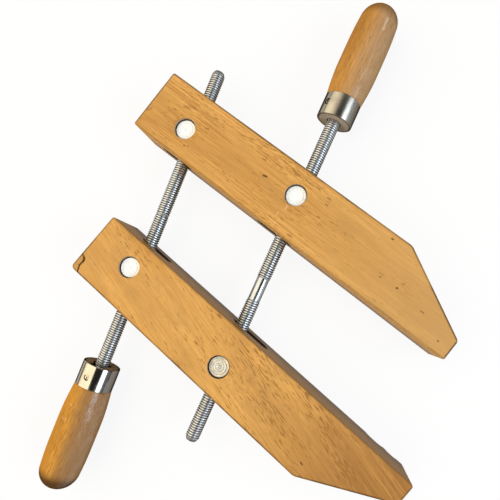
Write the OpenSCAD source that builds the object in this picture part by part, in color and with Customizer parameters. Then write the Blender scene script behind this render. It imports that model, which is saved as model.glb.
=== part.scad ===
// Wooden handscrew clamp: two hardwood jaws on two double-threaded spindles with swivel nuts.
// The clamp lies flat on its jaws. Z is up along the nut holes, X runs along the lower jaw
// from heel to tip, and the origin lies on the lower jaw's resting face, midway between its
// nut holes and midway across its width.

/* [Jaws] */
// Length of each jaw, heel to tip
jaw_l = 254; // [220:1:320]
// Width of each jaw from its clamping face to its back
jaw_w = 44.5; // [40:0.5:60]
// Thickness of each jaw along the nut holes
jaw_t = 38; // [34:0.5:50]
// Length of the sloped stretch of the back, next to the tip
taper_l = 55.5; // [30:0.5:80]
// Width left at the tip
tip_w = 14.3; // [8:0.1:24]
// Rounding of the long edges
edge_r = 0.9; // [0.6:0.1:3]
// Rounding of the corners seen from above
corner_r = 1.6; // [1:0.1:5]

/* [Nut holes] */
// Heel to the rear nut hole
rear_hole_x = 31.9; // [26:0.1:45]
// Clamping face to the rear nut hole
rear_hole_y = 18.2; // [15:0.1:24]
// Heel to the front nut hole
front_hole_x = 120.7; // [95:0.1:140]
// Clamping face to the front nut hole
front_hole_y = 26.7; // [18:0.1:28]
// Width of the broken edge round each hole
hole_break = 0.6; // [0.2:0.1:1.2]

/* [Swivel nuts] */
// Diameter of a nut
nut_d = 13.6; // [13:0.1:18]
// Gap between a nut and its hole, all round
nut_play = 0.5; // [0.3:0.05:0.9]
// Depth of a nut's end below the jaw face
nut_recess = 1.6; // [0.5:0.1:4]
// Chamfer on a nut's ends
nut_chamfer = 0.5; // [0.2:0.1:1]
// Diameter of the centre mark left by turning
dimple_d = 3; // [1:0.1:5]
// Gap between a spindle and a nut, all round
thread_play = 0.3; // [0.2:0.05:0.5]
// Gap in the upper front nut, where the linkage is left open
open_play = 1.2; // [1.15:0.05:1.3]

/* [Spindles] */
// Diameter over the thread
spindle_d = 9.5; // [8:0.1:10]
// Diameter of the plain stretch between the two threads
plain_d = 8.4; // [6:0.1:9.4]
// Length of the plain stretch on the front spindle
front_plain_l = 16.3; // [2:0.1:30]
// Length of the plain stretch on the rear spindle
rear_plain_l = 3; // [2:0.1:30]
// Handle-side nut to the middle of the front plain stretch
front_plain_at = 65.4; // [55:0.1:75]
// Handle-side nut to the middle of the rear plain stretch
rear_plain_at = 42; // [35:0.1:60]
// Length of the front spindle past its far nut
front_tip = 55; // [45:0.5:80]
// Length of the rear spindle past its far nut
rear_tip = 52.3; // [45:0.5:80]
// Length of the chamfer at a spindle's end
end_chamfer_l = 2.6; // [1:0.1:5]
// Depth of the chamfer at a spindle's end
end_chamfer = 1.3; // [0.5:0.1:2]
// Gap between a spindle and its slot, all round
slot_play = 0.65; // [0.5:0.05:1]
// Swing that the front slots allow to each side
front_swing = 19; // [18:0.5:24]
// Swing that the rear slots allow to each side
rear_swing = 21.5; // [20.5:0.5:25]

/* [Handles] */
// Front handle's ferrule to its nut
front_reach = 60.8; // [56:0.1:90]
// Rear handle's ferrule to its nut
rear_reach = 70.5; // [56:0.1:90]
// Diameter of a ferrule
ferrule_d = 25.4; // [22:0.1:27]
// Length of a ferrule
ferrule_l = 16.2; // [14:0.1:24]
// Wall of a ferrule
ferrule_wall = 1; // [0.6:0.1:1.6]
// Largest diameter of a handle
handle_d = 28.8; // [27.5:0.1:36]
// Length of a handle past its ferrule
handle_l = 73.2; // [55:0.1:100]
// Length over which a handle swells from its ferrule
swell_l = 24; // [12:0.5:30]
// Diameter where a handle's round end starts
dome_d = 27; // [20:0.1:27.4]
// Length of a handle's round end
dome_l = 13; // [8:0.1:16]
// Diameter of the spindle's shank in the handle
shank_d = 8.4; // [6:0.1:9.4]
// Length of the shank
shank_l = 48; // [30:0.5:65]
// Diameter of the clearance round the spindle at the handle's mouth
mouth_d = 13; // [11:0.1:16]
// Depth of that clearance
mouth_l = 5; // [2:0.1:6]
// Gap of the pieces that are pressed together, all round
seat_gap = 0.05; // [0.02:0.01:0.1]

/* [Handle pins] */
// Diameter of a handle pin
pin_d = 3.2; // [2:0.1:4]
// Wall of the rolled pin
pin_wall = 0.7; // [0.4:0.1:0.9]
// Width of the pin's slit
pin_slit = 0.5; // [0.3:0.1:1]
// Ferrule's mouth to the pin
pin_at = 8.6; // [8:0.1:11]
// Turn of the front pin from upright
front_pin_turn = 41; // [0:1:180]
// Turn of the rear pin from upright
rear_pin_turn = 174; // [0:1:180]

/* [Pose] */
// Distance between the two rear nuts
rear_spread = 100.7; // [90:0.1:120]
// Lean of the rear spindle towards the heels
rear_lean = 19.6; // [14:0.1:19.8]
// Angle between the jaws, open towards the tips
toe = 2.45; // [0:0.05:5]

/* [Hidden] */

$fn = 64;
// Overlap of a cutter past the face that it opens
past = 1;
// A slot's flat web is this much thinner than its round ends, so that faces cross cleanly
web_step = 0.1;
// Steps of a handle's curves
curve_steps = 12;
profile_fn = 24;

// Swivel centres of the four nuts, seen from above
function turned(p, a) = [p.x * cos(a) - p.y * sin(a), p.x * sin(a) + p.y * cos(a)];
function heading(a) = [-sin(a), cos(a)];
origin_x = (rear_hole_x + front_hole_x) / 2;
lower_rear = [rear_hole_x - origin_x, jaw_w / 2 - rear_hole_y];
lower_front = [front_hole_x - origin_x, jaw_w / 2 - front_hole_y];
upper_rear = lower_rear + rear_spread * heading(rear_lean);
hole_step = [front_hole_x - rear_hole_x, front_hole_y - rear_hole_y];
upper_front = upper_rear + turned(hole_step, toe);
front_line = upper_front - lower_front;
front_spread = norm(front_line);
front_lean = atan2(-front_line.x, front_line.y);
mid_t = jaw_t / 2;

// Places a child whose origin is a rear or front hole's centre of its own jaw
module at_nut(centre, lean) {
    translate([centre.x, centre.y, mid_t]) rotate([0, 0, lean]) children();
}

// Places a child that lies along +Z from its handle-side nut towards its far nut
module along_rear() {
    at_nut(lower_rear, rear_lean) rotate([-90, 0, 0]) children();
}

module along_front() {
    at_nut(upper_front, front_lean) rotate([90, 0, 0]) children();
}

// Places a child whose +Z runs from a ferrule's mouth to the handle's end
module at_handle(reach, pin_turn) {
    translate([0, 0, -reach]) rotate([180, 0, pin_turn]) children();
}

module jaw_outline() {
    offset(r = corner_r, $fn = profile_fn) offset(delta = -corner_r)
        polygon([
            [0, 0],
            [jaw_l, 0],
            [jaw_l, tip_w],
            [jaw_l - taper_l, jaw_w],
            [0, jaw_w]
        ]);
}

// The blank with its long edges rounded in two steps
module jaw_blank() {
    half_step = edge_r * (1 - cos(45));
    hull() {
        for (layer = [[0, edge_r], [half_step, half_step], [edge_r, 0]])
            translate([0, 0, layer[0]])
                linear_extrude(jaw_t - 2 * layer[0])
                    offset(delta = -layer[1]) jaw_outline();
    }
}

// A nut's hole, with its edges broken on both faces
module nut_hole() {
    r = nut_d / 2 + nut_play;
    translate([0, 0, -past]) cylinder(r = r, h = jaw_t + 2 * past);
    for (flip = [0, 1])
        translate([0, 0, flip * jaw_t]) mirror([0, 0, flip])
            translate([0, 0, -past])
                cylinder(r1 = r + hole_break + past, r2 = r, h = hole_break + past);
}

// The waisted slot that lets a spindle swing about its nut
module swing_slot(swing) {
    r = spindle_d / 2 + slot_play;
    l = 2 * jaw_w;
    x = l * sin(swing);
    y = l * cos(swing);
    for (a = [-swing, swing])
        rotate([0, 0, a]) rotate([-90, 0, 0]) cylinder(r = r, h = 2 * l, center = true);
    for (side = [-1, 1])
        translate([0, 0, -(r - web_step)])
            linear_extrude(2 * (r - web_step))
                polygon([[0, 0], [x, side * y], [-x, side * y]]);
}

// A jaw with its heel at x = 0 and its clamping face at y = 0
module jaw() {
    difference() {
        jaw_blank();
        for (hole = [[rear_hole_x, rear_hole_y, rear_swing], [front_hole_x, front_hole_y, front_swing]])
            translate([hole[0], hole[1], 0]) {
                nut_hole();
                translate([0, 0, mid_t]) swing_slot(hole[2]);
            }
    }
}

module lower_jaw() {
    color("burlywood")
        translate([-origin_x, jaw_w / 2, 0]) mirror([0, 1, 0]) jaw();
}

module upper_jaw() {
    color("burlywood")
        translate([upper_rear.x, upper_rear.y, 0]) rotate([0, 0, toe])
            translate([-rear_hole_x, -rear_hole_y, 0]) jaw();
}

// A swivel nut, upright on its centre, with its thread hole along Y
module nut(play) {
    r = nut_d / 2;
    half = mid_t - nut_recess;
    dimple = dimple_d / 2;
    difference() {
        rotate_extrude()
            polygon([
                [0, -half + dimple],
                [dimple, -half],
                [r - nut_chamfer, -half],
                [r, -half + nut_chamfer],
                [r, half - nut_chamfer],
                [r - nut_chamfer, half],
                [dimple, half],
                [0, half - dimple]
            ]);
        rotate([-90, 0, 0]) cylinder(r = spindle_d / 2 + play, h = nut_d + 2 * past, center = true);
    }
}

module lower_rear_nut() {
    color("silver") at_nut(lower_rear, rear_lean) nut(thread_play);
}

module lower_front_nut() {
    color("silver") at_nut(lower_front, front_lean) nut(thread_play);
}

module upper_rear_nut() {
    color("silver") at_nut(upper_rear, rear_lean) nut(thread_play);
}

module upper_front_nut() {
    color("silver") at_nut(upper_front, front_lean) nut(open_play);
}

// The hole for a handle pin, across the axis
module pin_hole() {
    translate([0, 0, pin_at]) rotate([90, 0, 0])
        cylinder(d = pin_d + 2 * seat_gap, h = 2 * handle_d, center = true);
}

// A spindle with its handle-side nut at the origin, run long to its far end
module spindle(reach, run, plain_at, plain_l, pin_turn) {
    r = spindle_d / 2;
    neck = plain_d / 2;
    slope = r - neck;
    difference() {
        rotate_extrude()
            polygon([
                [0, -reach - shank_l],
                [shank_d / 2, -reach - shank_l],
                [shank_d / 2, -reach + mouth_l - shank_step()],
                [r, -reach + mouth_l],
                [r, plain_at - plain_l / 2 - slope],
                [neck, plain_at - plain_l / 2],
                [neck, plain_at + plain_l / 2],
                [r, plain_at + plain_l / 2 + slope],
                [r, run - end_chamfer_l],
                [r - end_chamfer, run],
                [0, run]
            ]);
        at_handle(reach, pin_turn) pin_hole();
    }
}

// Rise of the thread from the shank
function shank_step() = (spindle_d - shank_d) / 2;

module rear_spindle() {
    color("lightsteelblue") along_rear()
        spindle(rear_reach, rear_spread + rear_tip, rear_plain_at, rear_plain_l, rear_pin_turn);
}

module front_spindle() {
    color("lightsteelblue") along_front()
        spindle(front_reach, front_spread + front_tip, front_plain_at, front_plain_l, front_pin_turn);
}

// A ferrule: a short tube with rounded rims
module ferrule() {
    r = ferrule_d / 2;
    bore = r - ferrule_wall;
    rim = ferrule_wall / 2;
    difference() {
        rotate_extrude()
            polygon([
                [bore, 0],
                [r - rim, 0],
                [r, rim],
                [r, ferrule_l],
                [bore, ferrule_l]
            ]);
        pin_hole();
    }
}

module rear_ferrule() {
    color("gainsboro") along_rear() at_handle(rear_reach, rear_pin_turn) ferrule();
}

module front_ferrule() {
    color("gainsboro") along_front() at_handle(front_reach, front_pin_turn) ferrule();
}

// A turned handle: tenon in the ferrule, slow swell, slight fall and a round end
module handle() {
    tenon = ferrule_d / 2 - ferrule_wall - seat_gap;
    shoulder = ferrule_d / 2;
    belly = handle_d / 2;
    brow = dome_d / 2;
    belly_z = ferrule_l + swell_l;
    brow_z = ferrule_l + handle_l - dome_l;
    swell = [for (i = [0:curve_steps]) let (t = i / curve_steps)
        [shoulder + (belly - shoulder) * sin(90 * t), ferrule_l + swell_l * t]];
    fall = [for (i = [1:curve_steps]) let (t = i / curve_steps)
        [belly - (belly - brow) * pow(t, 4), belly_z + (brow_z - belly_z) * t]];
    dome = [for (i = [1:curve_steps - 1]) let (t = 90 * i / curve_steps)
        [brow * cos(t), brow_z + dome_l * sin(t)]];
    difference() {
        rotate_extrude()
            polygon(concat(
                [[0, 0], [tenon, 0], [tenon, ferrule_l]],
                swell, fall, dome,
                [[0, brow_z + dome_l]]
            ));
        translate([0, 0, -past]) cylinder(d = shank_d + 2 * seat_gap, h = shank_l + past);
        translate([0, 0, -past]) cylinder(d = mouth_d, h = mouth_l + past);
        intersection() {
            pin_hole();
            cylinder(r = tenon + past, h = ferrule_l);
        }
    }
}

module rear_handle() {
    color("peru") along_rear() at_handle(rear_reach, rear_pin_turn) handle();
}

module front_handle() {
    color("peru") along_front() at_handle(front_reach, front_pin_turn) handle();
}

// A rolled pin across the ferrule, with its slit towards the handle's end
module handle_pin() {
    // ends just below the ferrule's round outside
    l = 2 * sqrt(pow(ferrule_d / 2, 2) - pow(pin_d / 2, 2));
    difference() {
        translate([0, 0, pin_at]) rotate([90, 0, 0])
            difference() {
                cylinder(d = pin_d, h = l, center = true);
                cylinder(d = pin_d - 2 * pin_wall, h = l + 2 * past, center = true);
            }
        translate([-pin_slit / 2, -l, pin_at]) cube([pin_slit, 2 * l, pin_d]);
    }
}

module rear_handle_pin() {
    color("dimgray") along_rear() at_handle(rear_reach, rear_pin_turn) handle_pin();
}

module front_handle_pin() {
    color("dimgray") along_front() at_handle(front_reach, front_pin_turn) handle_pin();
}

lower_jaw();
upper_jaw();
lower_rear_nut();
lower_front_nut();
upper_rear_nut();
upper_front_nut();
rear_spindle();
front_spindle();
rear_ferrule();
front_ferrule();
rear_handle();
front_handle();
rear_handle_pin();
front_handle_pin();
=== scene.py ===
import math

import bmesh
import bpy
from mathutils import Matrix, Vector


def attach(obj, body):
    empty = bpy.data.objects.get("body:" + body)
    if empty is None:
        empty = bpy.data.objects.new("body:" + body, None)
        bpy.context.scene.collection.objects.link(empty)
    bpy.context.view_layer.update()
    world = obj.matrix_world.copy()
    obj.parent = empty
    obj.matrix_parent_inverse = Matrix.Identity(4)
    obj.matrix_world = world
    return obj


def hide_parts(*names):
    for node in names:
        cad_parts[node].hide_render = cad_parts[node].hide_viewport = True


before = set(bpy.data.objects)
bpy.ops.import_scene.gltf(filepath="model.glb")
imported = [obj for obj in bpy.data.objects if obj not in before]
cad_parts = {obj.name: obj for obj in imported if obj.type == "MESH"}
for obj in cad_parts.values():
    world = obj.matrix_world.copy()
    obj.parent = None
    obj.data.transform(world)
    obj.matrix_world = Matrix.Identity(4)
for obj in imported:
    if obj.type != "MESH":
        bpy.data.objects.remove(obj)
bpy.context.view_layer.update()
scene = bpy.context.scene
scene.view_settings.view_transform = "Standard"
print("frame loaded:", len(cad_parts), "nodes")

# sizes repeated from the CAD, in millimetres and degrees
clamp = {
    "pinAt": 8.6,
    "jawLength": 254.0,
    "jawWidth": 44.5,
    "jawThickness": 38.0,
    "taperLength": 55.5,
    "tipWidth": 14.3,
    "rearHole": (31.9, 18.2),
    "frontHole": (120.7, 26.7),
    "rearSpread": 100.7,
    "rearLean": 19.6,
    "toe": 2.45,
    "rearReach": 70.5,
    "frontReach": 60.8,
    "rearPinTurn": 174.0,
    "frontPinTurn": 41.0,
}


def flatTurn(point, degrees):
    a = math.radians(degrees)
    x, y = point
    return Vector((x * math.cos(a) - y * math.sin(a), x * math.sin(a) + y * math.cos(a)))


def turnAbout(axis, degrees):
    return Matrix.Rotation(math.radians(degrees), 4, axis)


def shift(x, y, z):
    return Matrix.Translation((x, y, z))


midHeight = clamp["jawThickness"] / 2
originX = (clamp["rearHole"][0] + clamp["frontHole"][0]) / 2
originY = clamp["jawWidth"] / 2
lowerRear = Vector((clamp["rearHole"][0] - originX, originY - clamp["rearHole"][1]))
lowerFront = Vector((clamp["frontHole"][0] - originX, originY - clamp["frontHole"][1]))
upperRear = lowerRear + clamp["rearSpread"] * flatTurn((0, 1), clamp["rearLean"])
holeStep = Vector(clamp["frontHole"]) - Vector(clamp["rearHole"])
upperFront = upperRear + flatTurn(holeStep, clamp["toe"])
frontLine = upperFront - lowerFront
frontSpread = frontLine.length
frontLean = math.degrees(math.atan2(-frontLine.x, frontLine.y))

toMetres = Matrix.Scale(0.001, 4)
lowerJawPlace = shift(-originX, originY, 0) @ Matrix.Scale(-1, 4, (0, 1, 0))
upperJawPlace = (
    shift(upperRear.x, upperRear.y, 0)
    @ turnAbout("Z", clamp["toe"])
    @ shift(-clamp["rearHole"][0], -clamp["rearHole"][1], 0)
)


def nutPlace(centre, lean):
    return shift(centre.x, centre.y, midHeight) @ turnAbout("Z", lean)


# along a spindle, +Z runs from its handle-side nut to its far nut
rearLinePlace = nutPlace(lowerRear, clamp["rearLean"]) @ turnAbout("X", -90)
frontLinePlace = nutPlace(upperFront, frontLean) @ turnAbout("X", 90)


def handlePlace(linePlace, reach, pinTurn):
    return linePlace @ shift(0, 0, -reach) @ turnAbout("Z", pinTurn) @ turnAbout("X", 180)


def objectFrom(bm, name):
    bmesh.ops.recalc_face_normals(bm, faces=bm.faces)
    mesh = bpy.data.meshes.new(name)
    bm.to_mesh(mesh)
    bm.free()
    made = bpy.data.objects.new(name, mesh)
    scene.collection.objects.link(made)
    return made


def finishPiece(bm, name, place, sharpAngle):
    bmesh.ops.transform(bm, matrix=toMetres @ place, verts=bm.verts)
    piece = objectFrom(bm, name)
    piece.data.shade_smooth()
    piece.data.set_sharp_from_angle(angle=math.radians(sharpAngle))
    return piece


def dress(piece, body, node, material):
    piece.data.materials.clear()
    piece.data.materials.append(material)
    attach(piece, body)
    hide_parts(node)


def spinProfile(points, steps):
    bm = bmesh.new()
    verts = [bm.verts.new((r, 0, z)) for r, z in points]
    edges = [bm.edges.new(pair) for pair in zip(verts, verts[1:])]
    bmesh.ops.spin(
        bm, geom=verts + edges, cent=(0, 0, 0), axis=(0, 0, 1),
        dvec=(0, 0, 0), angle=math.tau, steps=steps, use_merge=True,
    )
    bmesh.ops.remove_doubles(bm, verts=bm.verts, dist=1e-5)
    bmesh.ops.recalc_face_normals(bm, faces=bm.faces)
    return bm


# what an object's modifiers make of it, as a bmesh; the object and its cutters are then removed
def takeResult(worked, cutters=()):
    depsgraph = bpy.context.evaluated_depsgraph_get()
    result = bmesh.new()
    result.from_mesh(worked.evaluated_get(depsgraph).to_mesh())
    for spent in (worked, *cutters):
        mesh = spent.data
        bpy.data.objects.remove(spent)
        bpy.data.meshes.remove(mesh)
    return result


# a blank loses each cutter in turn
def carve(bm, cutters):
    blank = objectFrom(bm, "blank")
    for cutter in cutters:
        cut = blank.modifiers.new("cut", "BOOLEAN")
        cut.operation = "DIFFERENCE"
        cut.solver = "EXACT"
        cut.object = cutter
    return takeResult(blank, cutters)


# the same turn again and again along Z
def repeated(bm, count, step):
    single = objectFrom(bm, "single")
    array = single.modifiers.new("turns", "ARRAY")
    array.count = count
    array.use_relative_offset = False
    array.use_constant_offset = True
    array.constant_offset_displace = (0, 0, step)
    return takeResult(single)


# a plain round cutter along Y
def roundCutter(radius, length, sides, height=0):
    bm = bmesh.new()
    bmesh.ops.create_cone(
        bm, cap_ends=True, segments=sides, radius1=radius, radius2=radius, depth=length,
        matrix=turnAbout("X", 90),
    )
    bmesh.ops.translate(bm, vec=(0, 0, height), verts=bm.verts)
    return objectFrom(bm, "roundCutter")


# shader helpers

def feed(tree, socket, value):
    if isinstance(value, bpy.types.NodeSocket):
        tree.links.new(value, socket)
    else:
        socket.default_value = value


def put(tree, kind, inputs=None, **settings):
    made = tree.nodes.new(kind)
    for key, value in settings.items():
        setattr(made, key, value)
    for key, value in (inputs or {}).items():
        feed(tree, made.inputs[key], value)
    return made


def sums(tree, operation, a, b=0.0, clamped=False):
    made = put(tree, "ShaderNodeMath", {0: a, 1: b}, operation=operation, use_clamp=clamped)
    return made.outputs[0]


def plus(tree, a, b):
    return sums(tree, "ADD", a, b)


def minus(tree, a, b):
    return sums(tree, "SUBTRACT", a, b)


def times(tree, a, b):
    return sums(tree, "MULTIPLY", a, b)


def larger(tree, a, b):
    return sums(tree, "MAXIMUM", a, b)


def smaller(tree, a, b):
    return sums(tree, "MINIMUM", a, b)


def offBy(tree, value, middle):
    return sums(tree, "ABSOLUTE", minus(tree, value, middle))


def dot(tree, a, b):
    return put(tree, "ShaderNodeVectorMath", {0: a, 1: b}, operation="DOT_PRODUCT").outputs["Value"]


def lengthOf(tree, vector):
    return put(tree, "ShaderNodeVectorMath", {0: vector}, operation="LENGTH").outputs["Value"]


def split(tree, vector):
    parts = put(tree, "ShaderNodeSeparateXYZ", {0: vector}).outputs
    return parts["X"], parts["Y"], parts["Z"]


def joined(tree, x=0.0, y=0.0, z=0.0):
    return put(tree, "ShaderNodeCombineXYZ", {0: x, 1: y, 2: z}).outputs[0]


def remap(tree, value, low, high, toLow=0.0, toHigh=1.0):
    made = put(
        tree, "ShaderNodeMapRange",
        {"Value": value, "From Min": low, "From Max": high, "To Min": toLow, "To Max": toHigh},
        interpolation_type="SMOOTHSTEP",
    )
    return made.outputs["Result"]


# sockets 0, 6 and 7 of a colour Mix are its factor, A and B
def blendColour(tree, share, a, b):
    made = put(tree, "ShaderNodeMix", {0: share, 6: a, 7: b}, data_type="RGBA")
    return made.outputs[2]


def noise(tree, vector, stretch, detail=2.0, rough=0.5, scale=1.0):
    drawn = put(tree, "ShaderNodeVectorMath", {0: vector, 1: stretch}, operation="MULTIPLY").outputs[0]
    made = put(
        tree, "ShaderNodeTexNoise",
        {"Vector": drawn, "Scale": scale, "Detail": detail, "Roughness": rough},
    )
    return made.outputs["Fac"]


def newGroup(name, inputs, outputs):
    group = bpy.data.node_groups.new(name, "ShaderNodeTree")
    for label, kind in inputs:
        group.interface.new_socket(name=label, in_out="INPUT", socket_type=kind)
    for label, kind in outputs:
        group.interface.new_socket(name=label, in_out="OUTPUT", socket_type=kind)
    entry = group.nodes.new("NodeGroupInput")
    leave = group.nodes.new("NodeGroupOutput")
    return group, entry.outputs, leave.inputs


def useGroup(tree, group, inputs):
    made = tree.nodes.new("ShaderNodeGroup")
    made.node_tree = group
    for key, value in inputs.items():
        feed(tree, made.inputs[key], value)
    return made.outputs


number = "NodeSocketFloat"
vector3 = "NodeSocketVector"

# wood figure along X, in millimetres; each noise has its stretch, detail and roughness
woodNoise = {
    "drift": ((0.009, 0.055, 0.055), 3.0, 0.55),
    "cloud": ((0.035, 0.075, 0.075), 4.0, 0.6),
    "lines": ((0.022, 1.3, 1.3), 4.0, 0.68),
    "rays": ((0.18, 1.4, 1.4), 2.0, 0.5),
    "mottle": ((0.07, 0.5, 0.5), 4.0, 0.62),
    "cluster": ((0.02, 0.11, 0.11), 2.0, 0.5),
    "fibre": ((0.12, 3.0, 3.0), 3.0, 0.6),
}
woodSpans = {
    "drift": (0.3, 0.7),
    "cloud": (0.3, 0.7),
    "lines": (0.4, 0.62),
    "mottle": (0.36, 0.66),
}
clusterPull = 0.45  # how strongly the short dark rays gather in clusters

grainGroup, gIn, gOut = newGroup(
    "woodFigure",
    [("Place", vector3), ("Fleck From", number), ("Fleck To", number)],
    [(label, number) for label in ("Drift", "Cloud", "Lines", "Flecks", "Fibre", "Mottle")],
)
tree = grainGroup
grown = {label: noise(tree, gIn["Place"], *settings) for label, settings in woodNoise.items()}
gathered = plus(tree, grown["rays"], times(tree, minus(tree, grown["cluster"], 0.5), clusterPull))
rayMask = put(
    tree, "ShaderNodeMapRange",
    {"Value": gathered, "From Min": gIn["Fleck From"], "From Max": gIn["Fleck To"]},
)
tree.links.new(rayMask.outputs["Result"], gOut["Flecks"])
tree.links.new(grown["fibre"], gOut["Fibre"])
for label, span in woodSpans.items():
    tree.links.new(remap(tree, grown[label], *span), gOut[label.capitalize()])

# a drawn mark: how near a point is to a straight stroke
strokeSoft = (1.0, 0.45)
strokeGroup, gIn, gOut = newGroup(
    "stroke",
    [("Place", vector3), ("Start", vector3), ("Run", vector3), ("Width", number)],
    [("Mask", number)],
)
tree = strokeGroup
vectorMath = "ShaderNodeVectorMath"
fromStart = put(tree, vectorMath, {0: gIn["Place"], 1: gIn["Start"]}, operation="SUBTRACT").outputs[0]
along = dot(tree, fromStart, gIn["Run"])
share = sums(tree, "DIVIDE", along, dot(tree, gIn["Run"], gIn["Run"]), clamped=True)
nearest = put(tree, vectorMath, {0: gIn["Run"], "Scale": share}, operation="SCALE").outputs[0]
away = put(tree, vectorMath, {0: fromStart, 1: nearest}, operation="DISTANCE").outputs["Value"]
ratio = sums(tree, "DIVIDE", away, gIn["Width"])
tree.links.new(remap(tree, ratio, *strokeSoft), gOut["Mask"])

print("shader groups ready")


def startMaterial(name, look):
    material = bpy.data.materials.new(name)
    material.use_nodes = True
    tree = material.node_tree
    shader = tree.nodes["Principled BSDF"]
    for key, value in look.items():
        shader.inputs[key].default_value = value
    return material, tree, shader


# object coordinates in millimetres, turned and moved so that the piece lies along an axis
def pieceCoordinates(tree, place):
    back = place.inverted()
    euler = back.to_euler("XYZ")
    flip = 1
    if place.determinant() < 0:
        flip = -1
        euler = (back @ Matrix.Scale(-1, 4, (0, 1, 0))).to_euler("XYZ")
    coordinates = put(tree, "ShaderNodeTexCoord").outputs["Object"]
    perMetre = (1000, 1000 * flip, 1000)
    mapping = put(
        tree, "ShaderNodeMapping",
        {"Vector": coordinates, "Location": back.translation, "Rotation": euler, "Scale": perMetre},
    )
    return mapping.outputs[0]


def grainCoordinates(tree, here, turn, grainShift):
    euler = [math.radians(degrees) for degrees in turn]
    mapping = put(tree, "ShaderNodeMapping", {"Vector": here, "Rotation": euler, "Location": grainShift})
    return mapping.outputs[0]


jawShape = {
    "edge": 0.8,
    "edgeSegments": 5,
    "cornerSegments": 6,
    "holeRadius": 7.3,
    "holeBreak": 0.6,
    "holeSides": 72,
    "slotRadius": 5.4,
    "slotFlare": 0.7,
    "rearSwing": 21.5,
    "frontSwing": 19.0,
    "slotSides": 40,
}
jawWoodLook = {
    "pale": (0.83, 0.445, 0.128, 1),
    "deep": (0.66, 0.335, 0.090, 1),
    "line": (0.44, 0.205, 0.050, 1),
    "fleck": (0.20, 0.074, 0.012, 1),
    "grime": (0.34, 0.180, 0.064, 1),
    "wall": (0.46, 0.33, 0.21, 1),
    "mottle": (0.50, 0.25, 0.066, 1),
    "edge": (0.12, 0.058, 0.020, 1),
    # painted shade for holes, slots and recesses
    "insideShade": (0.030, 0.020, 0.012, 1),
    "worn": (0.88, 0.56, 0.30, 1),
    "dirt": (0.080, 0.032, 0.010, 1),
    "sheen": 0.1,
    "roughness": (0.3, 0.7, 0.46, 0.6),
    "mottleShare": 0.3,
    "lineSpan": (110, 190),
    "lineFade": (0.15, 0.85, 1.0, 0.45),
    "fleckFadeSpan": (12, 38),
    "fleckSoft": 0.075,
    "grimeSpan": (0.35, 1.0),
    "streaks": ((0.014, 0.42, 0.42), 4.0),
    "streakSpan": (0.36, 0.62, 0.62, 1.0),
    "endGrain": (1.0, 0.2, 0.0, 0.55),
    "faceSpan": (0.7, 0.1),
    # painted shade along the jaw's edges
    "edgePatches": (0.1, 0.8, 0.6, 1.0),
    "edgeSpan": (1.6, 0.7),
    "edgeShadeFace": (0.0, 3.0, 0.3, 0.9),
    # painted shade low on the clamping face
    "lowShadeSpan": (28, 0),
    "lowShadeLineSpan": (5.0, 1.5),
    "lowShadeLineFace": (0.9, 0.3),
    "lowShadeShare": 0.8,
    "offRim": (0.12, 0.8),
    "bareSpan": (0.2, 0.7),
    "holeShadeSpan": (1.4, 2.6),
    "mouthShade": (0.5, -0.2),
    "strokeDepth": (3, 1.5),
    "fibreRise": 0.6,
    "fleckDepth": 0.7,
    "relief": {"Strength": 0.3, "Distance": 0.0002},
}


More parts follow.
